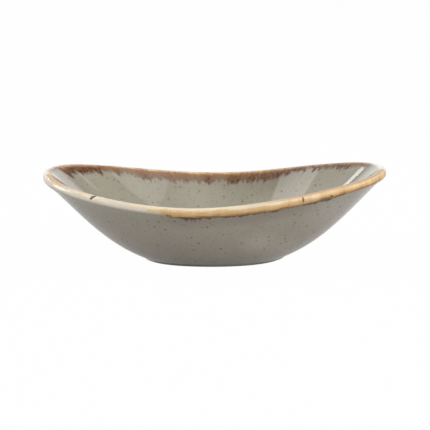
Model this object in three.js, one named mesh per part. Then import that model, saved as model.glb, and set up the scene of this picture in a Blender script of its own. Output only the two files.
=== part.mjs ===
// Mini oval dish: a pressed stoneware body with a saddle-shaped lip and a bare foot ring, and the
// glaze coats that are fired onto it. Millimetres, +Z up, the long axis along X. The origin is the
// middle of the foot ring's standing face.
import * as THREE from "three";

// Overall size of the finished dish, over its glaze
const LENGTH = 120;
const WIDTH = 82;
const END_HEIGHT = 30.8; // top of the lip at the two raised ends
const SIDE_HEIGHT = 23.5; // top of the lip at the low middle of each side

// Plan shape and dip of the lip
const OVAL_FULLNESS = 0.08; // swell of the oval between its axes, 0 for a plain ellipse
const DIP_SOFTNESS = 0.5; // share of the half length over which the dip is rounded

// Wall and lip
const LIP_THICKNESS = 3.2; // the rounded lip, over its glaze
const LIP_OVERHANG = 0.35; // how far the lip stands proud of the wall outside
const LIP_NECK = 1.6; // from the middle of the lip down to the wall below it
const LIP_UNDERSIDE = 0.8; // radians that the lip's roundness reaches under its overhang
const WALL_FLATTER = 0.33; // radians by which the wall leaves the foot flatter than a straight wall
const WALL_STEEPER = 0.08; // radians by which it reaches the lip steeper
const WALL_BOW = 0.35; // reach of both slopes into the wall, as a share of its length

// Floor of the dish
const FLOOR_THICKNESS = 3.4; // clay between the foot ring's recess and the floor
const FLOOR_FLAT = 0.45; // flat share of the floor, out to where the wall's slope would meet it
const FLOOR_SWEEP = 0.72; // how tightly the floor's curve follows the corner, 0 slack to 1 sharp

// Foot ring
const FOOT_LENGTH = 49;
const FOOT_WIDTH = 42.2;
const FOOT_HEIGHT = 1;
const FOOT_FACE = 2.6; // width of the standing face
const FOOT_DRAFT = 0.5; // how far each side of the ring leans in over its height
const FOOT_EDGE = 0.2; // chamfer along both edges of the standing face
const RECESS_DEPTH = 1.1; // hollow of the underside inside the ring

// Glaze
const GLAZE_THICKNESS = 0.35;
const BARE_FOOT = 0.35; // clay left bare above the standing face
const BAND_INSIDE = 5; // reach of the brown rim band below the lip, along the inner wall
const BAND_OUTSIDE = 0.8; // and along the outer wall

// Fineness of the facets
const STATIONS = 60; // around the oval
const WALL_STEPS = 6;
const LIP_STEPS = 7;
const WELL_STEPS = 8;

// Points along one stretch of a curve, from one share of its length to another.
function run(curve, from, to, steps) {
  const share = (i) => THREE.MathUtils.lerp(from, to, i / steps);
  return Array.from({ length: steps + 1 }, (_, i) => curve.getPointAt(share(i)));
}

function heading(angle) {
  return new THREE.Vector2(Math.cos(angle), Math.sin(angle));
}

// Where a line through a, along the heading of an angle, reaches a height.
function meetHeight(a, angle, height) {
  return new THREE.Vector2(a.x + (height - a.y) / Math.tan(angle), height);
}

// Half of the clay body's outline in one upright plane through the axis, as five stretches that share
// their end points. It runs from the axis under the dish, round the foot, up the wall, over the lip
// and down the inside to the axis again, with the clay on its left.
function clayOutline(footReach, lipReach, lipTop) {
  const lipRadius = LIP_THICKNESS / 2 - GLAZE_THICKNESS;
  const lipMiddle = new THREE.Vector2(lipReach - LIP_THICKNESS / 2, lipTop - LIP_THICKNESS / 2);

  // Foot ring: a standing face with chamfered edges and two leaning sides
  const footInner = footReach - FOOT_FACE - 2 * FOOT_EDGE;
  const lean = FOOT_DRAFT / FOOT_HEIGHT;
  const bareInner = new THREE.Vector2(footInner - lean * BARE_FOOT, BARE_FOOT);
  const bareOuter = new THREE.Vector2(footReach + lean * BARE_FOOT, BARE_FOOT);
  const recessEdge = new THREE.Vector2(footInner - lean * RECESS_DEPTH, RECESS_DEPTH);
  const footTop = new THREE.Vector2(footReach + lean * FOOT_HEIGHT, FOOT_HEIGHT);
  const footRing = [
    bareInner,
    new THREE.Vector2(footInner - lean * FOOT_EDGE, FOOT_EDGE),
    new THREE.Vector2(footInner + FOOT_EDGE, 0),
    new THREE.Vector2(footReach - FOOT_EDGE, 0),
    new THREE.Vector2(footReach + lean * FOOT_EDGE, FOOT_EDGE),
    bareOuter,
  ];
  const recess = [new THREE.Vector2(0, RECESS_DEPTH), recessEdge, bareInner];

  // Outer wall: one bowed curve from the foot to the neck under the lip
  const slope = lipMiddle.clone().sub(footTop).angle();
  const slopeAtFoot = slope - WALL_FLATTER;
  const slopeAtLip = slope + WALL_STEEPER;
  const outward = heading(slopeAtLip - Math.PI / 2);
  const neck = lipMiddle
    .clone()
    .addScaledVector(outward, lipRadius - LIP_OVERHANG)
    .addScaledVector(heading(slopeAtLip), -LIP_NECK);
  const bow = WALL_BOW * neck.distanceTo(footTop);
  const wall = new THREE.CubicBezierCurve(
    footTop,
    footTop.clone().addScaledVector(heading(slopeAtFoot), bow),
    neck.clone().addScaledVector(heading(slopeAtLip), -bow),
    neck,
  );
  const bandFoot = 1 - BAND_OUTSIDE / wall.getLength();
  const outerWall = [bareOuter, ...run(wall, 0, bandFoot, WALL_STEPS)];

  // Inner face: from the lip down the wall and in a sweep onto the flat floor
  const outwardAngle = outward.angle();
  const lipFoot = lipMiddle.clone().addScaledVector(outward, -lipRadius);
  const floorHeight = RECESS_DEPTH + FLOOR_THICKNESS;
  const corner = meetHeight(lipFoot, slopeAtLip, floorHeight);
  const floorEdge = new THREE.Vector2(corner.x * FLOOR_FLAT, floorHeight);
  const innerFace = new THREE.CubicBezierCurve(
    lipFoot,
    lipFoot.clone().lerp(corner, FLOOR_SWEEP),
    floorEdge.clone().lerp(corner, FLOOR_SWEEP),
    floorEdge,
  );
  const bandEnd = BAND_INSIDE / innerFace.getLength();
  const well = [...run(innerFace, bandEnd, 1, WELL_STEPS), new THREE.Vector2(0, floorHeight)];

  // Lip: the neck, the roundness from under the overhang over to the inner face, and the band's reach
  const round = new THREE.EllipseCurve(
    lipMiddle.x,
    lipMiddle.y,
    lipRadius,
    lipRadius,
    outwardAngle - LIP_UNDERSIDE,
    outwardAngle + Math.PI,
  );
  const lip = [
    ...run(wall, bandFoot, 1, 1),
    ...run(round, 0, 1, LIP_STEPS),
    ...run(innerFace, 0, bandEnd, 2).slice(1),
  ];
  return { recess, footRing, outerWall, lip, well };
}

// The outline moved out by the glaze's thickness, with mitred corners. Ends on the axis move along it.
function glazedOutline(clay) {
  const points = joined(Object.values(clay));
  const raised = points.map((point, i) => {
    const before = points[i - 1] ?? new THREE.Vector2(-points[i + 1].x, points[i + 1].y);
    const after = points[i + 1] ?? new THREE.Vector2(-points[i - 1].x, points[i - 1].y);
    const into = point.clone().sub(before).normalize();
    const along = into.clone().add(after.clone().sub(point).normalize()).normalize();
    const miter = GLAZE_THICKNESS / along.dot(into);
    return new THREE.Vector2(point.x + along.y * miter, point.y - along.x * miter);
  });
  let start = 0;
  const stretches = Object.entries(clay).map(([name, stretch]) => {
    const part = raised.slice(start, start + stretch.length);
    start += stretch.length - 1;
    return [name, part];
  });
  return Object.fromEntries(stretches);
}

// Stretches end to end, with each shared point once.
function joined(stretches) {
  return stretches.flatMap((stretch, i) => (i ? stretch.slice(1) : stretch));
}

// The oval's two shares of a point's reach at a station's angle: along X and along Y.
function ovalShare(angle) {
  const c = Math.cos(angle);
  const s = Math.sin(angle);
  return { x: c * (1 + OVAL_FULLNESS * s * s), y: s * (1 + OVAL_FULLNESS * c * c) };
}

// How far the outline has risen from its shape at the side (0) to its shape at the end (1). A hyperbola:
// round in the dip and nearly straight towards the raised ends.
function riseShare(alongX) {
  const arm = (t) => Math.hypot(DIP_SOFTNESS, t) - DIP_SOFTNESS;
  return arm(alongX) / arm(1);
}

// A closed solid lofted round the oval between a loop of points at the end and the same loop at the side.
function ovalLoft(endLoop, sideLoop) {
  const positions = [];
  const faces = [];
  const onAxis = (i) => endLoop[i].x === 0;

  const rings = endLoop.map((end, i) => {
    const ring = [];
    for (let k = 0; k < (onAxis(i) ? 1 : STATIONS); k++) {
      const share = ovalShare((2 * Math.PI * k) / STATIONS);
      const side = sideLoop[i];
      const height = THREE.MathUtils.lerp(side.y, end.y, onAxis(i) ? 0 : riseShare(share.x));
      ring.push(positions.push(new THREE.Vector3(end.x * share.x, side.x * share.y, height)) - 1);
    }
    return ring;
  });

  rings.forEach((ring, i) => {
    const next = rings[(i + 1) % rings.length];
    for (let k = 0; k < STATIONS; k++) {
      const turn = (k + 1) % STATIONS;
      const [a, b] = ring.length > 1 ? [ring[k], ring[turn]] : [ring[0], ring[0]];
      const [d, c] = next.length > 1 ? [next[k], next[turn]] : [next[0], next[0]];
      // Each four-sided facet is split along its shorter diagonal, so that touching solids match.
      const acrossA = positions[a].distanceTo(positions[c]);
      const acrossB = positions[b].distanceTo(positions[d]);
      const split = acrossA <= acrossB ? [a, b, c, a, c, d] : [b, c, d, b, d, a];
      for (let t = 0; t < split.length; t += 3) {
        const [p, q, r] = split.slice(t, t + 3);
        if (p !== q && q !== r && r !== p) faces.push(p, q, r);
      }
    }
  });

  const geometry = new THREE.BufferGeometry().setFromPoints(positions);
  geometry.setIndex(faces);
  geometry.computeVertexNormals();
  return geometry;
}

const clay = {
  end: clayOutline(FOOT_LENGTH / 2, LENGTH / 2, END_HEIGHT),
  side: clayOutline(FOOT_WIDTH / 2, WIDTH / 2, SIDE_HEIGHT),
};
const glazed = { end: glazedOutline(clay.end), side: glazedOutline(clay.side) };

const bisque = new THREE.MeshStandardMaterial({ color: 0xc9b79c, roughness: 0.9, metalness: 0 });
const greyGlaze = new THREE.MeshStandardMaterial({ color: 0x96948a, roughness: 0.2, metalness: 0 });
const brownBand = new THREE.MeshStandardMaterial({ color: 0xb58a55, roughness: 0.25, metalness: 0 });

function piece(name, geometry, material) {
  const mesh = new THREE.Mesh(geometry, material);
  mesh.name = name;
  return mesh;
}

// The pressed and fired clay, foot ring and all
function stonewareBody() {
  const loop = (plane) => joined(Object.values(clay[plane]));
  return piece("stoneware_body", ovalLoft(loop("end"), loop("side")), bisque);
}

// A coat of glaze on one stretch of the body, sharing its inner face with the clay
function glazeCoat(name, stretch, material) {
  const loop = (plane) => [...glazed[plane][stretch], ...clay[plane][stretch].toReversed()];
  return piece(name, ovalLoft(loop("end"), loop("side")), material);
}

const dish = new THREE.Group();
dish.name = "mini_oval_dish";
dish.add(
  stonewareBody(),
  glazeCoat("inside_glaze", "well", greyGlaze),
  glazeCoat("rim_band", "lip", brownBand),
  glazeCoat("outside_glaze", "outerWall", greyGlaze),
  glazeCoat("underside_glaze", "recess", greyGlaze),
);

export default dish;
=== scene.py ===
# %% [markdown]
# # A mini oval dish in speckled grey glaze
#
# The dish is one piece of stoneware, pressed into an oval, with a round lip that rises to both ends. It was
# dipped in a grey glaze that breaks into small brown iron specks, and its lip was brushed with a brown wash
# that ran a little in the kiln. This lesson models the clay and its coats of glaze, gives them their fired
# surfaces, and sets them on a white table in soft light.

# %% Load the frame
import math

import bmesh
import bpy
from mathutils import Matrix, Vector, geometry


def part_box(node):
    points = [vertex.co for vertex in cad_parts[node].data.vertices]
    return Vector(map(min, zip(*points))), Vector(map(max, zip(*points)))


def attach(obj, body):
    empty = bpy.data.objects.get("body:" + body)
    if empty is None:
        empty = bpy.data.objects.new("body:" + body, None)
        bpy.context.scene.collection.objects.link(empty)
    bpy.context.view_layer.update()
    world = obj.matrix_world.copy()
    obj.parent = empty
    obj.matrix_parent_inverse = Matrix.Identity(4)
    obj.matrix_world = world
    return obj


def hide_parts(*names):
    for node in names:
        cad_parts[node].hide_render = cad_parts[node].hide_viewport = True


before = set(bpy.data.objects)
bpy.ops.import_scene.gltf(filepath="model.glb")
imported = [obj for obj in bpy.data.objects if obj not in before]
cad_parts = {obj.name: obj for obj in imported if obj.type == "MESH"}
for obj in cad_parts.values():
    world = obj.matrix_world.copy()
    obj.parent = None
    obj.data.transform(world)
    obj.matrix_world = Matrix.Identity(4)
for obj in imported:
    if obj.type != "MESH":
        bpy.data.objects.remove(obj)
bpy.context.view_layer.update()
MM = 0.001
print("Solids in the frame:", ", ".join(sorted(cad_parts)))

# %% [markdown]
# ## Half a section
#
# A potter checks a form with a rib, a flat template of half the section. The oval has two such templates:
# one through the high end and one through the low side. Both have the same make-up: a recess under the
# floor, a foot ring, a bowed wall, a round lip and a sweep down to the floor. They could be drawn by hand,
# but one function draws both from a few sizes, with Blender's own Bezier helper for the bowed stretches, so
# that a changed size reaches every coat. Each point also keeps its run: how far it lies from the lip's crest
# along the surface, which the glaze will need later.

# %% The sizes of the section, in millimetres and radians
rim_low, rim_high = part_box("rim_band")
LENGTH = (rim_high.x - rim_low.x) / MM
WIDTH = (rim_high.y - rim_low.y) / MM
END_HEIGHT = rim_high.z / MM
SIDE_HEIGHT = 23.5
LIP_THICKNESS = 3.2
LIP_OVERHANG = 0.35
LIP_NECK = 1.6  # from the middle of the lip down to the wall
LIP_UNDERSIDE = 0.8  # angle by which the lip's roundness goes on under its overhang
WALL_FLATTER = 0.33  # angle by which the wall leaves the foot flatter than its chord
WALL_STEEPER = 0.08  # angle by which it meets the lip steeper than its chord
WALL_BOW = 0.35  # share of the chord over which those two slopes pull
FLOOR_HEIGHT = 4.5
FLOOR_FLAT = 0.45  # share of the floor that is flat
FLOOR_SWEEP = 0.72  # how tightly the floor sweeps up into the wall
FOOT_LENGTH = 49.0
FOOT_WIDTH = 42.2
FOOT_HEIGHT = 1.0
FOOT_FACE = 3.0
FOOT_DRAFT = 0.5  # how far each side of the ring leans over its height
RECESS_DEPTH = 1.1
BARE_FOOT = 0.35  # clay left bare above the standing face
GLAZE_THICKNESS = 0.35
WALL_STEPS = 32
LIP_STEPS = 22
WELL_STEPS = 52
print(f"The lip is {LENGTH:.2f} by {WIDTH:.2f} mm, and {END_HEIGHT:.2f} mm high at the ends")


# %% A heading, and the run of each point
def heading(angle):
    """The unit step in the section's plane that rises at this angle."""
    return Vector((math.cos(angle), math.sin(angle)))


def with_runs(points, crest):
    """Points as (reach, height, run), where the run is the way from the crest, positive inside."""
    runs = [0.0]
    for here, there in zip(points, points[1:]):
        runs.append(runs[-1] + (there - here).length)
    return [Vector((point.x, point.y, run - runs[crest])) for point, run in zip(points, runs)]


print("A step that rises at 30 degrees is", [round(part, 2) for part in heading(math.radians(30))])


# %% The clay's outline in one upright plane
def outline(foot_reach, lip_reach, lip_top):
    """Half a section, from the axis under the floor, out over foot, wall and lip, and in along the floor."""
    foot_inner = foot_reach - FOOT_FACE
    lean = FOOT_DRAFT / FOOT_HEIGHT
    foot = [Vector((0, RECESS_DEPTH)),
            Vector((foot_inner - lean * RECESS_DEPTH, RECESS_DEPTH)),
            Vector((foot_inner - lean * BARE_FOOT, BARE_FOOT)),
            Vector((foot_inner, 0)),
            Vector((foot_reach, 0)),
            Vector((foot_reach + lean * BARE_FOOT, BARE_FOOT))]

    lip_radius = LIP_THICKNESS / 2 - GLAZE_THICKNESS
    lip_middle = Vector((lip_reach - LIP_THICKNESS / 2, lip_top - LIP_THICKNESS / 2))
    foot_top = Vector((foot_reach + FOOT_DRAFT, FOOT_HEIGHT))
    rise = lip_middle - foot_top
    slope = math.atan2(rise.y, rise.x)
    along = heading(slope + WALL_STEEPER)
    outward_angle = slope + WALL_STEEPER - math.pi / 2
    neck = lip_middle + heading(outward_angle) * (lip_radius - LIP_OVERHANG) - along * LIP_NECK
    bow = WALL_BOW * (neck - foot_top).length
    wall = geometry.interpolate_bezier(foot_top, foot_top + heading(slope - WALL_FLATTER) * bow,
                                       neck - along * bow, neck, WALL_STEPS)

    turn = (math.pi + LIP_UNDERSIDE) / (LIP_STEPS - 1)
    angles = [outward_angle - LIP_UNDERSIDE + turn * step for step in range(LIP_STEPS)]
    lip = [lip_middle + heading(angle) * lip_radius for angle in angles]

    lip_foot = lip[-1]
    corner = lip_foot - along * ((lip_foot.y - FLOOR_HEIGHT) / along.y)
    floor_edge = Vector((corner.x * FLOOR_FLAT, FLOOR_HEIGHT))
    well = geometry.interpolate_bezier(lip_foot, lip_foot.lerp(corner, FLOOR_SWEEP),
                                       floor_edge.lerp(corner, FLOOR_SWEEP), floor_edge, WELL_STEPS)
    points = foot + wall + lip + well[1:] + [Vector((0, FLOOR_HEIGHT))]
    return with_runs(points, points.index(max(lip, key=lambda point: point.y)))


end_clay = outline(FOOT_LENGTH / 2, LENGTH / 2, END_HEIGHT)
side_clay = outline(FOOT_WIDTH / 2, WIDTH / 2, SIDE_HEIGHT)
print(f"At the end, {len(end_clay)} points draw {end_clay[-1].z - end_clay[0].z:.1f} mm of outline")

# %% [markdown]
# ## From half a section to a saddle-shaped oval
#
# Spinning the half section round the upright axis gives a round dish. To make it oval, every ring of the
# spun mesh is reshaped: its points move out by the end's template along the dish and by the side's template
# across it, and they rise from the side's height to the end's. A lattice could press the round dish too, but
# it would thin the lip at the sides. The side's template travels with the vertices in a layer of the mesh,
# so the spin copies it to every ring. Two small things keep the form from looking machined: the oval is a
# little fuller than an ellipse, and the lip has the slight warp that a kiln leaves.

# %% Spin the section
STATIONS = 240
MERGE_GAP = 1e-4


def spun_section(end_rows, side_rows, closed):
    """Spins the end's template into a round solid that holds the side's template and the runs in layers."""
    bm = bmesh.new()
    side_layer = bm.verts.layers.float_vector.new("side")
    flow_layer = bm.verts.layers.float_vector.new("flow")
    verts = []
    for end_row, side_row in zip(end_rows, side_rows):
        vert = bm.verts.new((end_row.x, 0, end_row.y))
        vert[side_layer] = side_row
        vert[flow_layer] = (0, 0, end_row.z)
        verts.append(vert)
    followers = verts[1:] + verts[:1] if closed else verts[1:]
    edges = [bm.edges.new(pair) for pair in zip(verts, followers)]
    bmesh.ops.spin(bm, geom=verts + edges, axis=(0, 0, 1), cent=(0, 0, 0), angle=2 * math.pi,
                   steps=STATIONS, use_merge=True)
    bmesh.ops.remove_doubles(bm, verts=bm.verts, dist=MERGE_GAP)
    return bm


print(f"One turn has {STATIONS} stations, {360 / STATIONS} degrees apart")

# %% Press it to the oval
OVAL_FULLNESS = 0.08
DIP_SOFTNESS = 0.5
KILN_WARP = 0.49
WARP_HEIGHT = 24.0
WARP_PEAK = 2 / (3 * math.sqrt(3))  # the largest value of x (1 - x * x) between 0 and 1


def mix(start, end, share):
    """The value that lies this share of the way from start to end."""
    return start + (end - start) * share


def dip_arm(share):
    """A soft V: the lip's climb from the middle of a side towards the end."""
    return math.hypot(DIP_SOFTNESS, share) - DIP_SOFTNESS


def press_to_oval(bm):
    """Moves the points of a spun section to the oval, and leaves each one's place in the flow in a layer."""
    side_layer = bm.verts.layers.float_vector["side"]
    flow_layer = bm.verts.layers.float_vector["flow"]
    for vert in bm.verts:
        angle = math.atan2(vert.co.y, vert.co.x)
        share_x = math.cos(angle) * (1 + OVAL_FULLNESS * math.sin(angle) ** 2)
        share_y = math.sin(angle) * (1 + OVAL_FULLNESS * math.cos(angle) ** 2)
        rise = dip_arm(share_x) / dip_arm(1)
        end_reach = math.hypot(vert.co.x, vert.co.y)
        side_reach, side_height, side_run = vert[side_layer]
        height = mix(side_height, vert.co.z, rise)
        warp = KILN_WARP * share_x * (1 - share_x ** 2) / WARP_PEAK * min(height / WARP_HEIGHT, 1)
        run = mix(side_run, vert[flow_layer].z, rise)
        vert.co = (end_reach * share_x, side_reach * share_y, height + warp)
        vert[flow_layer] = (LENGTH / 2 * share_x, WIDTH / 2 * share_y, run)
    bm.verts.layers.float_vector.remove(side_layer)
    bmesh.ops.recalc_face_normals(bm, faces=bm.faces)


def spun_dish(end_rows, side_rows, closed):
    """A section spun and pressed to the oval."""
    bm = spun_section(end_rows, side_rows, closed)
    press_to_oval(bm)
    return bm


print(f"Half-way to the end, the lip has made {dip_arm(0.5) / dip_arm(1):.0%} of its climb")

# %% Round an edge, and finish a piece
EDGE_ANGLE = math.radians(40)


def round_low_edges(bm, below, width):
    """Rounds the sharp edges that lie below a height."""
    low = [edge for edge in bm.edges if max(vert.co.z for vert in edge.verts) < below]
    sharp = [edge for edge in low if edge.calc_face_angle(0) > EDGE_ANGLE]
    bmesh.ops.bevel(bm, geom=sharp, offset=width, affect="EDGES", segments=3, profile=0.5, material=-1)
    print(f"Rounded {len(sharp)} edges by {width} mm")


def finish_piece(bm, name, node):
    """Turns a mesh in millimetres into a smooth piece that rides with the dish and stands for a CAD node."""
    bmesh.ops.scale(bm, vec=(MM, MM, MM), verts=bm.verts)
    mesh = bpy.data.meshes.new(name)
    bm.to_mesh(mesh)
    bm.free()
    mesh.shade_smooth()
    mesh.set_sharp_from_angle(angle=EDGE_ANGLE)
    piece = bpy.data.objects.new(name, mesh)
    bpy.context.scene.collection.objects.link(piece)
    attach(piece, "root")
    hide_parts(node)
    top = max(vert.co.z for vert in mesh.vertices)
    print(f"{name}: {len(mesh.polygons)} faces, {top / MM:.2f} mm high")
    return piece


print(f"Edges of more than {math.degrees(EDGE_ANGLE):.0f} degrees are shaded sharp")

# %% [markdown]
# ## The clay
#
# The stoneware body is the half section spun whole, since it starts and ends on the axis. On the real dish
# only the standing face of its foot shows, where the glaze is wiped off so that the piece doesn't stick to
# the kiln shelf. The wiping sponge rounds the ring's two edges, and a bevel does that here.

# %% Clay body
FOOT_ROUND = 0.2
clay = spun_dish(end_clay, side_clay, closed=False)
round_low_edges(clay, BARE_FOOT / 2, FOOT_ROUND)
clay_body = finish_piece(clay, "clay_body", "stoneware_body")

# %% [markdown]
# ## The coats of glaze
#
# Glaze is a skin of glass, about a third of a millimetre thick. It could be one offset shell, but the wash
# on the lip is brushed on by itself, and the foot parts the outside from the recess, so there are four
# coats. Each is a strip of the section, there and back: along the clay, and back along the same stretch
# moved out by the thickness of the glaze. Where the outside coat ends above the foot, it ends in the small
# roll that melted glaze draws up into.


# %% A coated stretch of the section
def skin(points):
    """The outline moved to its outer side by the thickness of the glaze, with its runs kept."""
    moved = []
    for before, here, after in zip(points[:1] + points, points, points[1:] + points[-1:]):
        came = Vector((here.y - before.y, before.x - here.x)).normalized()
        goes = Vector((after.y - here.y, here.x - after.x)).normalized()
        out = (came + goes).normalized()
        reach = GLAZE_THICKNESS / max(out.dot(came), out.dot(goes))
        moved.append(Vector((here.x + out.x * reach, here.y + out.y * reach, here.z)))
    return moved


def coat(first, last):
    """Spins the coat on the outline's points from first up to last, which is None at the axis."""
    rows = []
    for clay_points in (end_clay, side_clay):
        there = clay_points[first:last]
        back = skin(clay_points)[first:last]
        rows.append(there[::-1] + back if last is None else there + back[::-1])
    return spun_dish(*rows, closed=first > 0 and last is not None)


print(f"Glazed, the end is {max(point.y for point in skin(end_clay)):.2f} mm high")

# %% Four coats
BASE_END = 2  # this and the next four count points along the outline
WALL_START = 5
BAND_INSIDE = 4
BAND_START = WALL_START + WALL_STEPS - 1
BAND_END = WALL_START + WALL_STEPS + LIP_STEPS + BAND_INSIDE
GLAZE_ROLL = 0.16
base_glaze = finish_piece(coat(0, BASE_END + 1), "base_glaze", "underside_glaze")
wall_coat = coat(WALL_START, BAND_START + 1)
round_low_edges(wall_coat, FOOT_HEIGHT, GLAZE_ROLL)
wall_glaze = finish_piece(wall_coat, "wall_glaze", "outside_glaze")
lip_glaze = finish_piece(coat(BAND_START, BAND_END + 1), "lip_glaze", "rim_band")
well_glaze = finish_piece(coat(BAND_END, None), "well_glaze", "inside_glaze")

# %% [markdown]
# ## Colours and nodes
#
# Fired colours are written as sRGB hex values, as a colour picker gives them, and one function turns them
# into the linear values that a shader works with. One more function adds a node and fills its inputs, so
# that a material reads as a list of steps. Inputs are given in order or by Blender's identifiers. A node
# given as an input stands for its first output in use, and a pair given as From or To sets both ends of a
# map range.


# %% Two helpers for materials
def linear(hex_colour):
    """Turns an sRGB hex value such as 9E9B89 into a linear colour."""
    channels = [int(hex_colour[start:start + 2], 16) / 255 for start in (0, 2, 4)]
    return [c / 12.92 if c <= 0.04045 else ((c + 0.055) / 1.055) ** 2.4 for c in channels] + [1.0]


def add(tree, kind, inputs=(), stops=(), **settings):
    """Adds a node with its settings, its inputs and, on a colour ramp, its stops."""
    node = tree.nodes.new("ShaderNode" + kind)
    for name, value in settings.items():
        setattr(node, name, value)
    sockets = {socket.identifier: socket for socket in node.inputs}
    named = inputs if isinstance(inputs, dict) else dict(zip(sockets, inputs))
    for name, value in named.items():
        if isinstance(value, bpy.types.Node):
            value = next(socket for socket in value.outputs if socket.enabled)
        if isinstance(value, bpy.types.NodeSocket):
            tree.links.new(value, sockets[name])
        elif name in ("From", "To"):
            sockets[name + " Min"].default_value, sockets[name + " Max"].default_value = value
        else:
            sockets[name].default_value = value
    for number, (position, hex_colour) in enumerate(stops):
        ramp = node.color_ramp.elements
        stop = ramp[number] if number < 2 else ramp.new(position)
        stop.position = position
        stop.color = linear(hex_colour)
    return node


print("A mid grey of 808080 is", round(linear("808080")[0], 3), "in linear light")


# %% A new material, and places in millimetres
def new_tree(name):
    """A new material and its empty node tree."""
    material = bpy.data.materials.new(name)
    material.use_nodes = True
    material.node_tree.nodes.clear()
    return material, material.node_tree


def millimetres(tree):
    """The place on the piece, in millimetres."""
    place = add(tree, "TexCoord").outputs["Object"]
    return add(tree, "VectorMath", (place, (1 / MM,) * 3), operation="MULTIPLY")


print("Patterns are scaled in millimetres:", round(1 / MM), "to the metre")

# %% [markdown]
# ## Speckled grey glaze
#
# The grey is a glossy stoneware glaze. It is never one flat tone: it clouds where it lies thicker and it is
# finely mottled like skin. A few paler pools on it are painted light: partly painted reflections of the lit
# table and studio, partly paler glaze. A painted picture could show all that, but it would need a UV map,
# and an oval has no good place for a seam. A solid texture in the object's own coordinates has none.
# Blender's noise stays mostly between 0.3 and 0.7, so map ranges that read it start and end near there. The
# coat is thicker and greener inside, and outside the warm clay shows through a little.

# %% Clouds and mottling
GREY_THIN = "A2988B"
GREY_THICK = "A7A392"
GREY_MOTTLE = "8E8775"
CLOUD_WIDTH = 15.0
CLOUD_SPREAD = (0.35, 0.65)
MOTTLE_WIDTH = 0.9  # coarser than on the real glaze, so that it shows
MOTTLE_SPREAD = (0.45, 0.8)
MOTTLE_SHARE = 0.35


def clouded_grey(tree, place, thinnest, thickest):
    """The grey of a coat of this range of thickness from 0 to 1, and its thickness from place to place."""
    clouds = add(tree, "TexNoise", {"Vector": place, "Scale": 1 / CLOUD_WIDTH, "Detail": 3.0})
    thick = add(tree, "MapRange", {"Value": clouds, "From": CLOUD_SPREAD, "To": (thinnest, thickest)})
    colour = add(tree, "Mix", {"Factor_Float": thick, "A_Color": linear(GREY_THIN),
                               "B_Color": linear(GREY_THICK)}, data_type="RGBA")
    mottle = add(tree, "TexNoise", {"Vector": place, "Scale": 1 / MOTTLE_WIDTH, "Detail": 2.0})
    share = add(tree, "MapRange", {"Value": mottle, "From": MOTTLE_SPREAD, "To": (0.0, MOTTLE_SHARE)})
    colour = add(tree, "Mix", {"Factor_Float": share, "A_Color": colour, "B_Color": linear(GREY_MOTTLE)},
                 data_type="RGBA")
    return colour, thick


print(f"Clouds of {CLOUD_WIDTH:.0f} mm, and mottling of {MOTTLE_WIDTH} mm")

# %% Pools of painted light, at places on the dish in millimetres
# A pale grey painted where soft reflections of the lit table and studio fall, and where the glaze is paler.
PAINTED_LIGHT_GREY = "C2BCAE"
LIGHT_POOLS = ({"middle": (18.0, -29.0, 9.5), "radius": 9.0, "share": 0.5},
         {"middle": (25.0, -24.0, 7.0), "radius": 9.0, "share": 0.4},
         {"middle": (-8.0, 33.0, 15.0), "radius": 17.0, "share": 0.25},
         {"middle": (41.0, -26.0, 21.0), "radius": 13.0, "share": 0.25})


def with_light_pools(tree, place, colour):
    """The grey with its pools of painted light, partly painted reflection and partly paler glaze."""
    for light_pool in LIGHT_POOLS:
        way_out = add(tree, "VectorMath", (place, light_pool["middle"]), operation="DISTANCE")
        share = add(tree, "MapRange", {"Value": way_out, "From": (light_pool["radius"], 0.0),
                                       "To": (0.0, light_pool["share"])}, interpolation_type="SMOOTHSTEP")
        colour = add(tree, "Mix", {"Factor_Float": share, "A_Color": colour, "B_Color": linear(PAINTED_LIGHT_GREY)},
                     data_type="RGBA")
    return colour


# The pools are painted light, partly painted reflection.
print("The grey has", len(LIGHT_POOLS), "pools")

# %% [markdown]
# ## Iron specks
#
# The glaze holds grains of iron, and each melts into a dark speck with a brown bleed round it. Scattered
# points are the natural way to place them, and a Voronoi texture is just that: each cell holds one grain,
# and the cell's random colour says how large it is. Under the thick coat inside, the dark cores sink out of
# sight and mostly the bleed shows.

# %% Specks with a bleed
SPECK = "35291F"
SPECK_BLEED = "86694C"
SPECK_SIZES = ({"spacing": 1.8, "radius": 0.36, "share": 1.0},
               {"spacing": 1.1, "radius": 0.2, "share": 0.7})
BLEED_EDGE = (2.2, 0.6)  # both edges in radii of the speck
CORE_EDGE = (1.0, 0.5)
BLEED_SHARE = 0.45
SUNKEN_SHARE = 0.15  # what shows of a core under the thickest coat


def with_specks(tree, place, colour, thick):
    """The grey with iron specks of two sizes."""
    clear = add(tree, "MapRange", {"Value": thick, "To": (1.0, SUNKEN_SHARE)})
    for specks in SPECK_SIZES:
        cells = add(tree, "TexVoronoi", {"Vector": place, "Scale": 1 / specks["spacing"]})
        chance = add(tree, "SeparateColor", (cells.outputs["Color"],))
        largest = specks["radius"] / specks["spacing"]
        size = add(tree, "Math", (chance, largest), operation="MULTIPLY")
        way_out = add(tree, "Math", (cells.outputs["Distance"], size), operation="DIVIDE")
        bleed = add(tree, "MapRange", {"Value": way_out, "From": BLEED_EDGE,
                                       "To": (0.0, BLEED_SHARE * specks["share"])},
                    interpolation_type="SMOOTHSTEP")
        colour = add(tree, "Mix", {"Factor_Float": bleed, "A_Color": colour,
                                   "B_Color": linear(SPECK_BLEED)}, data_type="RGBA")
        core = add(tree, "MapRange", {"Value": way_out, "From": CORE_EDGE, "To": (0.0, specks["share"])},
                   interpolation_type="SMOOTHSTEP")
        core = add(tree, "Math", (core, clear), operation="MULTIPLY")
        colour = add(tree, "Mix", {"Factor_Float": core, "A_Color": colour, "B_Color": linear(SPECK)},
                     data_type="RGBA")
    return colour


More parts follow.
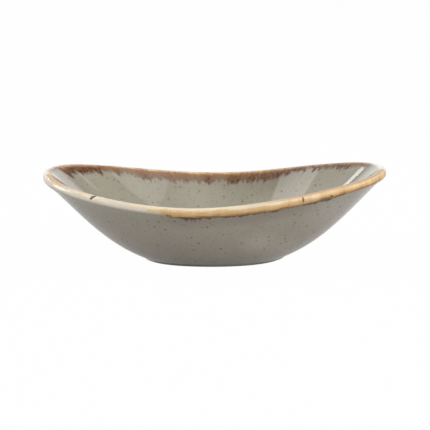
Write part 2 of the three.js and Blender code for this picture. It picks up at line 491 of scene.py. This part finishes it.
def speckled_grey(tree, place, thinnest, thickest):
    """The grey glaze's colour, on a coat of this range of thickness from 0 to 1."""
    colour, thick = clouded_grey(tree, place, thinnest, thickest)
    return with_specks(tree, place, with_light_pools(tree, place, colour), thick)


print("The largest speck is", 2 * max(specks["radius"] for specks in SPECK_SIZES), "mm across")

# %% [markdown]
# ## The way the wash flowed
#
# The wash on the lip is an iron stain that was brushed on and ran in the kiln. It follows the way that glaze
# runs, not the object's axes. So its patterns read the flow layer, which the spin left in the mesh: two
# numbers say where on the rim a point lies, and the third is its run from the crest, positive inside. Noise
# over that layer can be stretched at will. With an endless length down the flow, it gives each place on the
# rim one value of its own, such as the length of a drip, and with a short one it breaks into streaks.

# %% Read the flow
WAVE_WIDTH = 5.0
DRIP_WIDTH = 1.6
STREAK_WIDTH = 0.7
STREAK_LENGTH = 0.9


def flow_noise(tree, flow, round_rim, down_flow, detail):
    """Noise whose shapes are this large round the rim and down the flow, in millimetres."""
    steps = (1 / round_rim, 1 / round_rim, 1 / down_flow)
    place = add(tree, "VectorMath", (flow["layer"], steps), operation="MULTIPLY")
    return add(tree, "TexNoise", {"Vector": place, "Scale": 1.0, "Detail": detail})


def read_flow(tree):
    """The parts of the flow layer, and noise that follows it, by name."""
    layer = add(tree, "Attribute", attribute_name="flow").outputs["Vector"]
    parts = add(tree, "SeparateXYZ", (layer,)).outputs
    flow = {"layer": layer, "along": parts["X"], "across": parts["Y"], "run": parts["Z"]}
    flow["waves"] = flow_noise(tree, flow, WAVE_WIDTH, math.inf, 1.0)
    flow["drips"] = flow_noise(tree, flow, DRIP_WIDTH, math.inf, 2.0)
    flow["streaks"] = flow_noise(tree, flow, STREAK_WIDTH, STREAK_LENGTH, 3.0)
    return flow


print(f"Drips are about {DRIP_WIDTH} mm wide, and the streaks in them {STREAK_WIDTH} mm")

# %% [markdown]
# ## Where the wash lies
#
# The brush wasn't full everywhere. The wash is rich along the right half of the rim and at the left end,
# lean between them, and held back inside both tips, where the grey shows almost up to the lip. It runs down
# inside by a few millimetres, in drips. Outside it covers the lip and ends in the groove below, but on the
# left the brush missed the outside of the lip. A mask could be painted for all this. Here it is worked out
# from the run and from places along the dish, so it stays sharp at any size. A pair of places along the dish
# gives, in millimetres, where a change begins and where it is complete, and a map range turns that stretch
# into a length or a share.

# %% Rich and lean stretches, and the tips
RICH_RIGHT = (-14.0, 22.0)
RICH_LEFT = (-44.0, -48.0)
LEFT_RICHNESS = 1.3
WAVE_SPREAD = (0.3, 0.7)
WAVE_SWING = 0.5
STREAK_SPREAD = (0.25, 0.75)
RAG = 0.6  # how far streaks move the wash's edge
TIP_RAG = 2.0
TIP_SLANT = 0.08
TIP_BACK = 3.0  # how far the bare tips lie behind the dish's ends


def read_rim(tree, flow):
    """Adds to the flow how rich the wash is round the rim, its uneven edge, and the way from the tips."""
    flow["right"] = add(tree, "MapRange", {"Value": flow["along"], "From": RICH_RIGHT})
    left = add(tree, "MapRange", {"Value": flow["along"], "From": RICH_LEFT, "To": (0.0, LEFT_RICHNESS)})
    flow["uneven"] = add(tree, "MapRange", {"Value": flow["waves"], "From": WAVE_SPREAD,
                                            "To": (-WAVE_SWING, WAVE_SWING)})
    rich = add(tree, "Math", (flow["right"], left), operation="MAXIMUM")
    flow["rich"] = add(tree, "Math", (rich, flow["uneven"]), operation="ADD", use_clamp=True)
    flow["rag"] = add(tree, "MapRange", {"Value": flow["streaks"], "From": STREAK_SPREAD, "To": (-RAG, RAG)})
    beside = add(tree, "Math", (flow["across"], TIP_BACK), operation="SUBTRACT")
    beside = add(tree, "Math", (flow["along"], -TIP_SLANT, beside), operation="MULTIPLY_ADD")
    beside = add(tree, "Math", (beside,), operation="ABSOLUTE")
    flow["from_tip"] = add(tree, "Math", (flow["rag"], TIP_RAG, beside), operation="MULTIPLY_ADD")


print(f"The wash is rich from {RICH_RIGHT[1]:.0f} mm rightwards and from {RICH_LEFT[1]:.0f} mm leftwards")

# %% How far the wash runs down inside
REACH = 4.6
SHORT_RIGHT = (16.0, 28.0)
REACH_RIGHT = 2.3
SHORT_LEFT = (-46.0, -30.0)
REACH_LEFT = 2.8
FULL_LEFT = (-45.0, -49.0)
FULLER_REACH = 1.4
LOBE_LEFT = (-57.6, -58.8)
LOBE_REACH = 3.4
DRIP_SPREAD = (0.35, 0.7)
DRIP_REACH = (-0.6, 1.4)
WAVE_REACH = 1.6
TIP_WIDTH = (8.0, 13.0)
TIP_REACH = (1.3, 8.0)
INNER_EDGE = (1.0, -1.0)


def wash_inside(tree, flow):
    """How far the wash covers the grey inside. It adds to the flow its reach, and the way past it."""
    along = flow["along"]
    reach = add(tree, "MapRange", {"Value": along, "From": SHORT_RIGHT, "To": (REACH, REACH_RIGHT)})
    shorter = add(tree, "MapRange", {"Value": along, "From": SHORT_LEFT, "To": (REACH_LEFT, REACH)})
    reach = add(tree, "Math", (reach, shorter), operation="MINIMUM")
    fuller = add(tree, "MapRange", {"Value": along, "From": FULL_LEFT, "To": (0.0, FULLER_REACH)})
    lobe = add(tree, "MapRange", {"Value": along, "From": LOBE_LEFT, "To": (0.0, LOBE_REACH)})
    drip = add(tree, "MapRange", {"Value": flow["drips"], "From": DRIP_SPREAD, "To": DRIP_REACH})
    for more in (fuller, lobe, drip):
        reach = add(tree, "Math", (reach, more), operation="ADD")
    reach = add(tree, "Math", (flow["uneven"], WAVE_REACH, reach), operation="MULTIPLY_ADD")
    limit = add(tree, "MapRange", {"Value": flow["from_tip"], "From": TIP_WIDTH, "To": TIP_REACH})
    flow["reach"] = add(tree, "Math", (reach, limit), operation="MINIMUM")
    flow["past"] = add(tree, "Math", (flow["run"], flow["reach"]), operation="SUBTRACT")
    ragged = add(tree, "Math", (flow["past"], flow["rag"]), operation="ADD")
    return add(tree, "MapRange", {"Value": ragged, "From": INNER_EDGE}, interpolation_type="SMOOTHSTEP")


print(f"Inside, the wash runs down by {REACH} mm, and less towards both ends")

# %% How far the wash runs outside
BRUSHED = (-30.0, -11.0)
BRUSH_PRESS = 4.0  # how suddenly the brush came down
OUTER_REACH = (0.5, 3.5)
GROOVE_FULL = (-14.0, -5.0)
GROOVE_REACH = 0.8
OUTER_WAVE = 1.4
BEAD_REACH = (-0.5, 0.7)
OUTER_SHORT = (40.0, 48.0)
OUTER_LIMIT = (6.5, 2.7)
OUTER_RAG = 0.6
OUTER_EDGE = (-0.9, 0.5)
# A faint tint of wash colour, strongest just below the lip and fading down the wall.
UNDER_LIP_RUN = (-10.0, -5.0)
UNDER_LIP_SHARE = 0.28
UNDER_LIP_FADES = (46.0, 32.0)


def wash_outside(tree, flow):
    """How far the wash covers the grey outside, with a faint tint of wash colour just below the lip, fading
    down the wall.
    """
    along = flow["along"]
    brushed = add(tree, "MapRange", {"Value": along, "From": BRUSHED})
    brushed = add(tree, "Math", (brushed, BRUSH_PRESS), operation="POWER")
    reach = add(tree, "MapRange", {"Value": brushed, "To": OUTER_REACH})
    groove = add(tree, "MapRange", {"Value": along, "From": GROOVE_FULL, "To": (0.0, GROOVE_REACH)})
    reach = add(tree, "Math", (reach, groove), operation="ADD")
    reach = add(tree, "Math", (flow["uneven"], OUTER_WAVE, reach), operation="MULTIPLY_ADD")
    beads = add(tree, "MapRange", {"Value": flow["drips"], "From": DRIP_SPREAD, "To": BEAD_REACH})
    reach = add(tree, "Math", (reach, beads), operation="ADD")
    limit = add(tree, "MapRange", {"Value": along, "From": OUTER_SHORT, "To": OUTER_LIMIT})
    reach = add(tree, "Math", (reach, limit), operation="MINIMUM")
    above = add(tree, "Math", (flow["run"], reach), operation="ADD")
    above = add(tree, "Math", (flow["rag"], OUTER_RAG, above), operation="MULTIPLY_ADD")
    outside = add(tree, "MapRange", {"Value": above, "From": OUTER_EDGE}, interpolation_type="SMOOTHSTEP")
    under_lip = add(tree, "MapRange", {"Value": flow["run"], "From": UNDER_LIP_RUN, "To": (0.0, UNDER_LIP_SHARE)})
    fading = add(tree, "MapRange", {"Value": along, "From": UNDER_LIP_FADES})
    for share in (brushed, fading):
        under_lip = add(tree, "Math", (under_lip, share), operation="MULTIPLY")
    return add(tree, "Math", (outside, under_lip), operation="MAXIMUM")


print(f"Outside, it runs {OUTER_REACH[0]} mm past the crest on the left, and {OUTER_REACH[1]} mm elsewhere")

# %% Both sides of the crest together
TIP_BARE = (7.0, 10.5)
TIP_SHARE = 0.3
LEFT_TIP = (-40.0, -56.0)
LEFT_TIP_SHARE = 0.75


def wash_cover(tree, flow):
    """How far the wash covers the grey on both sides of the crest. On the tips only a part is left."""
    cover = wash_inside(tree, flow)
    outside = wash_outside(tree, flow)
    kept = add(tree, "MapRange", {"Value": flow["from_tip"], "From": TIP_BARE, "To": (TIP_SHARE, 1.0)})
    left = add(tree, "MapRange", {"Value": flow["along"], "From": LEFT_TIP, "To": (0.0, LEFT_TIP_SHARE)})
    kept = add(tree, "Math", (kept, left), operation="MAXIMUM")
    for share in (outside, kept):
        cover = add(tree, "Math", (cover, share), operation="MULTIPLY")
    return cover


print(f"{TIP_SHARE:.0%} of the wash is left on the right tip, and {LEFT_TIP_SHARE:.0%} on the left one")

# %% [markdown]
# ## What shows under the wash
#
# Thin glaze draws back from a round edge, so the bare stretches of the lip break to cream. Below the drips,
# painted shade darkens the grey for about a centimetre, most of all along the right half, where the inside
# faces away from the key light. Both are tints of the grey, laid on before the wash covers it.

# %% Painted shade and a cream lip
# Painted shade: a darker grey below the drips, where the inside faces away from the key light.
PAINTED_SHADE_GREY = "7A7565"
SHADE_REACH = 10.0
SHADE_SHARE = 0.6
SHADE_FADES = (44.0, 26.0)
SHADE_LEFT_OVER = 0.3
INSIDE_BEGINS = (0.0, 2.0)
CREAM = "E4DACA"
CREAM_BELOW = (-2.9, -1.8)
CREAM_ABOVE = (1.2, 0.4)


def under_wash(tree, flow, grey):
    """The grey below the wash, with painted shade inside and cream on the lip."""
    run = flow["run"]
    painted_shade = add(tree, "MapRange", {"Value": flow["past"], "From": (SHADE_REACH, 0.0), "To": (0.0, SHADE_SHARE)})
    fading = add(tree, "MapRange", {"Value": flow["along"], "From": SHADE_FADES, "To": (SHADE_LEFT_OVER, 1.0)})
    within = add(tree, "MapRange", {"Value": run, "From": INSIDE_BEGINS})
    for share in (flow["right"], fading, within):
        painted_shade = add(tree, "Math", (painted_shade, share), operation="MULTIPLY")
    under = add(tree, "Mix", {"Factor_Float": painted_shade, "A_Color": grey, "B_Color": linear(PAINTED_SHADE_GREY)},
                data_type="RGBA")
    lip = add(tree, "MapRange", {"Value": run, "From": CREAM_BELOW}, interpolation_type="SMOOTHSTEP")
    lip_top = add(tree, "MapRange", {"Value": run, "From": CREAM_ABOVE})
    lip = add(tree, "Math", (lip, lip_top), operation="MULTIPLY")
    return add(tree, "Mix", {"Factor_Float": lip, "A_Color": under, "B_Color": linear(CREAM)},
               data_type="RGBA")


# This tint is painted shade.
print(f"Iron tints the grey for {SHADE_REACH:.0f} mm past the ends of the drips")

# %% [markdown]
# ## The colours of the wash
#
# Where the wash is thin it fires to honey, and where it is thick to rust and nearly to black. It is thinnest
# on the crest, from which it ran off, and it gathered in the groove under the lip and at the ends of its
# drips. So one colour ramp runs from the groove, over the crest, to the drips' ends, and brush strokes along
# the lip, fine hairlines across it and slow waves shift the place on that ramp a little. The ramp also holds
# painted light: its crest colours are lightened as painted top light, and its groove colours are darkened,
# partly as painted shade under the lip. Painting the lip by hand would give one dish, while this can be laid
# on any rim. Honey, rust and clots are then added where the rim has more of them.

# %% From the groove over the crest to the drips
BRUSH_WIDTH = 0.5  # strokes and hairlines are coarser than a bristle's own, so that they show
BRUSH_LENGTH = 6.0
HAIR_WIDTH = 0.4
HAIR_LENGTH = 4.0
STROKE_SPREAD = (0.2, 0.8)
STROKE_SHIFT = 0.11
HAIR_SHIFT = 0.05
WAVE_SHIFT = 0.06
GROOVE_DEEPER = (5.0, 25.0)
GROOVE_RISES = (30.0, 45.0)
GROOVE_LEFT = -5.0  # three runs from the crest
GROOVE_MIDDLE = -5.8
GROOVE_RIGHT = -4.2
# The pale crest colours are painted top light, and the dark groove colours are partly painted shade.
WASH_AND_PAINTED_LIGHT_STOPS = ((0.00, "58402F"), (0.12, "5C4226"), (0.20, "8C6A42"), (0.26, "D0A66E"), (0.33, "DCB886"),
              (0.37, "E4C79A"), (0.42, "F0DFC0"), (0.50, "EEDCBE"), (0.55, "E4C89E"), (0.60, "C2926A"),
              (0.66, "9C7250"), (0.78, "8C6649"), (1.00, "74523A"))


def wash_over_lip(tree, flow):
    """The wash's colour from groove to crest to drips, with painted top light and painted shade. It adds to
    the flow the share of the way inward.
    """
    strokes = flow_noise(tree, flow, BRUSH_LENGTH, BRUSH_WIDTH, 3.0)
    hairs = flow_noise(tree, flow, HAIR_WIDTH, HAIR_LENGTH, 2.0)
    flow["inward"] = add(tree, "Math", (flow["run"], flow["reach"]), operation="DIVIDE", use_clamp=True)
    groove = add(tree, "MapRange", {"Value": flow["along"], "From": GROOVE_DEEPER,
                                    "To": (GROOVE_LEFT, GROOVE_MIDDLE)})
    rising = add(tree, "MapRange", {"Value": flow["along"], "From": GROOVE_RISES,
                                    "To": (GROOVE_MIDDLE, GROOVE_RIGHT)})
    groove = add(tree, "Math", (groove, rising), operation="MAXIMUM")
    outward = add(tree, "Math", (flow["run"], groove), operation="DIVIDE", use_clamp=True)
    stage = add(tree, "Math", (flow["inward"], outward), operation="SUBTRACT")
    for noise, spread, shift in ((strokes, STROKE_SPREAD, STROKE_SHIFT), (hairs, STROKE_SPREAD, HAIR_SHIFT),
                                 (flow["waves"], WAVE_SPREAD, WAVE_SHIFT)):
        shifted = add(tree, "MapRange", {"Value": noise, "From": spread, "To": (-shift, shift)})
        stage = add(tree, "Math", (stage, shifted), operation="ADD")
    position = add(tree, "MapRange", {"Value": stage, "From": (-1.0, 1.0)})
    return add(tree, "ValToRGB", {"Fac": position}, stops=WASH_AND_PAINTED_LIGHT_STOPS)


print("The ramp over the lip has", len(WASH_AND_PAINTED_LIGHT_STOPS), "colours")

# %% Honey on the crest
HONEY = "CDA578"
CREST_EDGE = (1.3, 0.6)
CREST_SHARE = 0.85
HONEY_RIGHT = (10.0, 32.0)
HONEY_LEFT = (-36.0, -56.0)
LEFT_HONEY_SHARE = 0.8


def with_honey(tree, flow, wash):
    """The wash with honey on the crest of the lip, towards both ends."""
    along = flow["along"]
    from_crest = add(tree, "Math", (flow["run"],), operation="ABSOLUTE")
    crest = add(tree, "MapRange", {"Value": from_crest, "From": CREST_EDGE, "To": (0.0, CREST_SHARE)})
    right = add(tree, "MapRange", {"Value": along, "From": HONEY_RIGHT})
    left = add(tree, "MapRange", {"Value": along, "From": HONEY_LEFT, "To": (0.0, LEFT_HONEY_SHARE)})
    honeyed = add(tree, "Math", (right, left), operation="MAXIMUM")
    honeyed = add(tree, "Math", (honeyed, crest), operation="MULTIPLY")
    return add(tree, "Mix", {"Factor_Float": honeyed, "A_Color": wash, "B_Color": linear(HONEY)},
               data_type="RGBA")


print(f"Up to {CREST_SHARE:.0%} of the crest's colour is honey")

# %% Rust, and dark clots
RUST = "6A4020"
RUST_BEGINS = (0.2, 0.55)  # shares of the way inward, as in the next line
CLOTS_BEGIN = (0.2, 0.7)
RUST_SHARE = 0.85
WASH_DARK = "45240F"
CLOT_SPREAD = (0.54, 0.44)
FULL_DRIPS = (0.36, 0.5)


def with_clots(tree, flow, wash):
    """The rich wash: rust down the inside, and dark clots near the ends of its drips."""
    rust = add(tree, "MapRange", {"Value": flow["inward"], "From": RUST_BEGINS, "To": (0.0, RUST_SHARE)})
    rust = add(tree, "Math", (flow["rich"], rust), operation="MULTIPLY")
    wash = add(tree, "Mix", {"Factor_Float": rust, "A_Color": wash, "B_Color": linear(RUST)},
               data_type="RGBA")
    flow["low"] = add(tree, "MapRange", {"Value": flow["inward"], "From": CLOTS_BEGIN})
    clots = add(tree, "MapRange", {"Value": flow["streaks"], "From": CLOT_SPREAD})
    full = add(tree, "MapRange", {"Value": flow["drips"], "From": FULL_DRIPS})
    gathered = flow["rich"]
    for share in (flow["low"], clots, full):
        gathered = add(tree, "Math", (gathered, share), operation="MULTIPLY")
    return add(tree, "Mix", {"Factor_Float": gathered, "A_Color": wash, "B_Color": linear(WASH_DARK)},
               data_type="RGBA")


print(f"Up to {RUST_SHARE:.0%} of the rich wash is rust")

# %% Thin places and gaps
LEAN = (0.7, 0.0)
LEAN_SHARE = 0.3
GAP_SPREAD = (0.5, 0.62)
GAP_SHARE = 0.36


def thinned(tree, flow, cover):
    """The cover, less what is missing low on the drips: lean stretches, and gaps between the strokes."""
    lean = add(tree, "MapRange", {"Value": flow["rich"], "From": LEAN, "To": (0.0, LEAN_SHARE)})
    gaps = add(tree, "MapRange", {"Value": flow["streaks"], "From": GAP_SPREAD, "To": (0.0, GAP_SHARE)})
    missing = add(tree, "Math", (lean, gaps), operation="MAXIMUM")
    missing = add(tree, "Math", (missing, flow["low"]), operation="MULTIPLY")
    whole = add(tree, "Math", (1.0, missing), operation="SUBTRACT")
    return add(tree, "Math", (cover, whole), operation="MULTIPLY")


print(f"A gap lets {GAP_SHARE:.0%} of the grey through")

# %% [markdown]
# ## Burnt marks
#
# Three coarse grains burnt through the glaze on the front of the lip: a slanting dash at the left, an
# upright one at the right and a dot beyond it. Each is a dark spot round a point of the flow, and the
# slanting dash is four spots in a row. Small dents could be cut for them, but the glaze has closed over
# them, so they are colour alone.

# %% Spots, at places in the flow in millimetres
BURNT_SPOTS = ({"place": (-37.1, -34.0, -0.2), "round_rim": 0.45, "down_flow": 0.4},
               {"place": (-37.3, -33.95, -0.6), "round_rim": 0.6, "down_flow": 0.45},
               {"place": (-37.55, -33.8, -1.0), "round_rim": 0.6, "down_flow": 0.45},
               {"place": (-37.8, -33.7, -1.4), "round_rim": 0.45, "down_flow": 0.3},
               {"place": (33.4, -35.6, -1.6), "round_rim": 0.3, "down_flow": 0.8},
               {"place": (42.6, -31.1, -2.4), "round_rim": 0.5, "down_flow": 0.3})
SPOT_EDGE = (1.3, 0.6)
BURNT_SHARE = 0.9


def with_burnt_spots(tree, flow, colour):
    """The glaze with its burnt spots."""
    for spot in BURNT_SPOTS:
        off = add(tree, "VectorMath", (flow["layer"], spot["place"]), operation="SUBTRACT")
        steps = (1 / spot["round_rim"], 1 / spot["round_rim"], 1 / spot["down_flow"])
        off = add(tree, "VectorMath", (off, steps), operation="MULTIPLY")
        way_out = add(tree, "VectorMath", (off,), operation="LENGTH")
        burnt = add(tree, "MapRange", {"Value": way_out, "From": SPOT_EDGE, "To": (0.0, BURNT_SHARE)},
                    interpolation_type="SMOOTHSTEP")
        colour = add(tree, "Mix", {"Factor_Float": burnt, "A_Color": colour, "B_Color": linear(WASH_DARK)},
                     data_type="RGBA")
    return colour


print("The lip has", len(BURNT_SPOTS), "burnt spots in three marks")

# %% [markdown]
# ## The glazed surface
#
# All the glaze is smooth glass with a faint orange peel, as melted surfaces have. The wash fires to satin,
# since iron crystals roughen it. Two materials with an edge between them would show a seam, so one shader
# does both, and its roughness follows the wash's cover.


# %% The wash over the grey
def brown_wash(tree, grey):
    """The glaze's colour with the wash on it, and how far the wash covers the grey."""
    flow = read_flow(tree)
    read_rim(tree, flow)
    cover = wash_cover(tree, flow)
    under = under_wash(tree, flow, grey)
    wash = with_clots(tree, flow, with_honey(tree, flow, wash_over_lip(tree, flow)))
    cover = thinned(tree, flow, cover)
    colour = add(tree, "Mix", {"Factor_Float": cover, "A_Color": under, "B_Color": wash}, data_type="RGBA")
    return with_burnt_spots(tree, flow, colour), cover


# The second layer is painted shade below the drips.
print("Layers, from below: grey, bled iron, cream, wash and burnt spots")

# %% Two glazes
GLAZE_IOR = 1.5
GLAZE_ROUGHNESS = 0.045
WASH_ROUGHNESS = 0.36
SATIN_COVER = (0.2, 1.0)
PEEL_WIDTH = 4.0
PEEL_DEPTH = 0.008


def glazed(name, thinnest, thickest, pieces):
    """Makes a glaze of this range of thickness and puts it on pieces."""
    material, tree = new_tree(name)
    place = millimetres(tree)
    colour, cover = brown_wash(tree, speckled_grey(tree, place, thinnest, thickest))
    rough = add(tree, "MapRange", {"Value": cover, "From": SATIN_COVER,
                                   "To": (GLAZE_ROUGHNESS, WASH_ROUGHNESS)})
    peel = add(tree, "TexNoise", {"Vector": place, "Scale": 1 / PEEL_WIDTH, "Detail": 1.0})
    normal = add(tree, "Bump", {"Height": peel, "Distance": PEEL_DEPTH * MM})
    shader = add(tree, "BsdfPrincipled", {"Base Color": colour, "Roughness": rough, "IOR": GLAZE_IOR,
                                          "Normal": normal})
    add(tree, "OutputMaterial", {"Surface": shader})
    for piece in pieces:
        piece.data.materials.append(material)
    print(name, "has", len(tree.nodes), "nodes and is on", ", ".join(piece.name for piece in pieces))


# Melted glass gives the eye sharp, slightly wavy mirror images, and the wash only a soft sheen.
glazed("grey_glaze_and_brown_wash_thin", thinnest=0.0, thickest=0.5, pieces=(base_glaze, wall_glaze))
glazed("grey_glaze_and_brown_wash_thick", thinnest=0.5, thickest=1.0, pieces=(lip_glaze, well_glaze))

# %% [markdown]
# ## Bare stoneware
#
# Unglazed, the clay is a dry buff with grog, ground fired clay that keeps a piece from cracking. It shows as
# pale and dark grains of a few tenths of a millimetre. They could be modelled, but only the foot's standing
# face is bare, so one noise gives both the grains' colour and their slight relief.

# %% Sanded stoneware
CLAY = "C9B79C"
CLAY_DARK = "A58F73"
CLAY_ROUGHNESS = 0.85
GROG_WIDTH = 0.5
GROG_SPREAD = (0.4, 0.7)
GROG_DEPTH = 0.03
# Sanding leaves the clay matt, so it gives the eye a warm, dry grain and no shine.
bare_clay, clay_tree = new_tree("sanded_buff_stoneware")
clay_place = millimetres(clay_tree)
grog = add(clay_tree, "TexNoise", {"Vector": clay_place, "Scale": 1 / GROG_WIDTH, "Detail": 3.0})
grains = add(clay_tree, "MapRange", {"Value": grog, "From": GROG_SPREAD})
clay_colour = add(clay_tree, "Mix", {"Factor_Float": grains, "A_Color": linear(CLAY),
                                     "B_Color": linear(CLAY_DARK)}, data_type="RGBA")
clay_normal = add(clay_tree, "Bump", {"Height": grog, "Distance": GROG_DEPTH * MM})
clay_shader = add(clay_tree, "BsdfPrincipled", {"Base Color": clay_colour, "Roughness": CLAY_ROUGHNESS,
                                                "Normal": clay_normal})
add(clay_tree, "OutputMaterial", {"Surface": clay_shader})
clay_body.data.materials.append(bare_clay)
print(bare_clay.name, "has", len(clay_tree.nodes), "nodes")

# %% [markdown]
# ## Camera
#
# The dish is seen from just above its rim with a long lens, a little from the right, and the camera leans by
# a degree. A Track To constraint would aim it but not lean it, so its three axes are worked out and set.

# %% Set up the camera
AZIMUTH = math.radians(6.42)
ELEVATION = math.radians(10.02)
LEAN_ANGLE = math.radians(-1.04)
DISTANCE = 620.0
AIM_ALONG = 0.13
AIM_HEIGHT = 14.26
LENS = 147.7
NEAREST_SEEN = 0.01
scene = bpy.context.scene
right = Vector((math.cos(AZIMUTH), math.sin(AZIMUTH), 0))
back = Vector((math.sin(AZIMUTH) * math.cos(ELEVATION), -math.cos(AZIMUTH) * math.cos(ELEVATION),
               math.sin(ELEVATION)))
up = back.cross(right)
eye = right * AIM_ALONG + Vector((0, 0, AIM_HEIGHT)) + back * DISTANCE
turned = Matrix((right, up, back)).transposed().to_4x4() @ Matrix.Rotation(LEAN_ANGLE, 4, "Z")
camera = bpy.data.objects.new("camera", bpy.data.cameras.new("camera"))
camera.data.lens = LENS
camera.data.clip_start = NEAREST_SEEN
camera.matrix_world = Matrix.Translation(eye * MM) @ turned
scene.collection.objects.link(camera)
scene.camera = camera
scene.view_settings.view_transform = "Standard"
print(f"The camera is {DISTANCE:.0f} mm away, with a lens of {LENS} mm")

# %% [markdown]
# ## White surroundings
#
# The table and what is behind it are plain white. Lit until they turn white, they would flood the dish.
# Instead a light path test shows them white to the camera and in reflections, while the light that they give
# stays at a plain level. What the glaze mirrors is a backdrop that is white low down, a dim studio above it,
# a pale wall at the left and a dark one at the right. The table still takes a little shadow, so that the
# dish stands on something.


# %% White to the eye, plain as a light
def seen_directly(tree, shown, mirrored):
    """How white the surroundings show: to the camera and through glass, and in a reflection."""
    rays = add(tree, "LightPath").outputs
    straight = add(tree, "Math", (rays["Is Camera Ray"], rays["Is Transmission Ray"]), operation="MAXIMUM")
    straight = add(tree, "Math", (straight, shown), operation="MULTIPLY")
    glossy = add(tree, "Math", (rays["Is Glossy Ray"], mirrored), operation="MULTIPLY")
    return add(tree, "Math", (straight, glossy), operation="MAXIMUM")


WHITE = linear("FFFFFF")
print("White is", WHITE, "in linear light")

# %% The studio
AMBIENT = 0.33
STUDIO_STOPS = ((0.0, "FFFFFF"), (0.31, "FFFFFF"), (0.37, "606060"), (0.68, "606060"), (0.76, "808080"))
WALLS = ({"colour": "F0F0F0", "sideways": (-0.5, -0.62)}, {"colour": "505050", "sideways": (0.32, 0.46)})
world = bpy.data.worlds.new("white_studio")
world.use_nodes = True
studio = world.node_tree
studio.nodes.clear()
ways = add(studio, "SeparateXYZ", (add(studio, "TexCoord").outputs["Generated"],)).outputs
shine = add(studio, "ValToRGB", {"Fac": ways["Z"]}, stops=STUDIO_STOPS)
for wall in WALLS:
    share = add(studio, "MapRange", {"Value": ways["X"], "From": wall["sideways"]})
    shine = add(studio, "Mix", {"Factor_Float": share, "A_Color": shine, "B_Color": linear(wall["colour"])},
                data_type="RGBA")
soft = add(studio, "Background", {"Color": WHITE, "Strength": AMBIENT})
white = add(studio, "Background", {"Color": shine, "Strength": 1.0})
sky = add(studio, "MixShader", (seen_directly(studio, 1.0, 1.0), soft, white))
add(studio, "OutputWorld", {"Surface": sky})
scene.world = world
print(f"The studio lights the dish at {AMBIENT:.0%} of white")

# %% The table
TABLE_GREY = "D0D0D0"
TABLE_SHOWN = 0.985
TABLE_MIRRORED = 0.45
TABLE_SIZE = 4.0
table_mesh = bpy.data.meshes.new("white_table")
table_bm = bmesh.new()
bmesh.ops.create_grid(table_bm, x_segments=1, y_segments=1, size=TABLE_SIZE / 2)
table_bm.to_mesh(table_mesh)
table_bm.free()
table = bpy.data.objects.new("white_table", table_mesh)
scene.collection.objects.link(table)
# Painted board gives the eye an even white without a horizon, and a faint shadow under the dish.
table_white, table_tree = new_tree("white_table_top")
shaded = add(table_tree, "BsdfDiffuse", {"Color": linear(TABLE_GREY)})
shining = add(table_tree, "Emission", {"Color": WHITE, "Strength": 1.0})
shown = seen_directly(table_tree, TABLE_SHOWN, TABLE_MIRRORED)
table_look = add(table_tree, "MixShader", (shown, shaded, shining))
add(table_tree, "OutputMaterial", {"Surface": table_look})
table_mesh.materials.append(table_white)
print("The table is", TABLE_SIZE, "m square")

# %% [markdown]
# ## Softboxes
#
# A glossy bowl is lit as much by what it mirrors as by what falls on it. One bare lamp would light it, but
# would show as a hard dot. So there are softboxes: a large key lamp at the right, behind the camera, gives
# the plain light, and the others each make a patch in the glaze, on the walls, on the lip or inside the
# right end. A lamp's power is worked out from its size, so that its brightness is counted in whites.


# %% Nine lamps
def softbox(name, azimuth, elevation, size, brightness):
    """A rectangular light 1 m from the dish, so many times as bright as white, at angles from the back."""
    lamp = bpy.data.lights.new(name, "AREA")
    lamp.shape = "RECTANGLE"
    lamp.size = size[0]
    lamp.size_y = size[1]
    lamp.energy = math.pi * size[0] * size[1] * brightness
    level = math.cos(math.radians(elevation))
    light = bpy.data.objects.new(name, lamp)
    light.location = (level * math.sin(math.radians(azimuth)), level * math.cos(math.radians(azimuth)),
                      math.sin(math.radians(elevation)))
    light.rotation_euler = (-light.location).to_track_quat("-Z", "Y").to_euler()
    scene.collection.objects.link(light)
    print(f"{name}: {lamp.energy:.2f} W at", [round(part, 2) for part in light.location])
    return light


TOP_LEFT_TILT = math.radians(-12)
softbox("key_softbox", azimuth=141, elevation=40, size=(0.7, 0.6), brightness=3.5)
top_left = softbox("top_left_softbox", azimuth=-89, elevation=58.5, size=(1.0, 0.24), brightness=2.2)
top_left.rotation_euler.rotate_axis("Z", TOP_LEFT_TILT)
softbox("top_right_softbox", azimuth=98, elevation=64, size=(0.59, 0.35), brightness=1.2)
softbox("left_softbox", azimuth=-80, elevation=28, size=(0.4, 0.5), brightness=5.0)
softbox("right_softbox", azimuth=80, elevation=28, size=(0.4, 0.4), brightness=4.2)
softbox("right_slit", azimuth=29, elevation=35.3, size=(0.06, 0.05), brightness=0.75)
softbox("low_softbox", azimuth=115, elevation=10, size=(0.5, 0.25), brightness=2.0)
softbox("back_softbox", azimuth=-20, elevation=12, size=(0.8, 0.2), brightness=0.35)
softbox("back_strip", azimuth=-37, elevation=25, size=(0.22, 0.13), brightness=3.4)
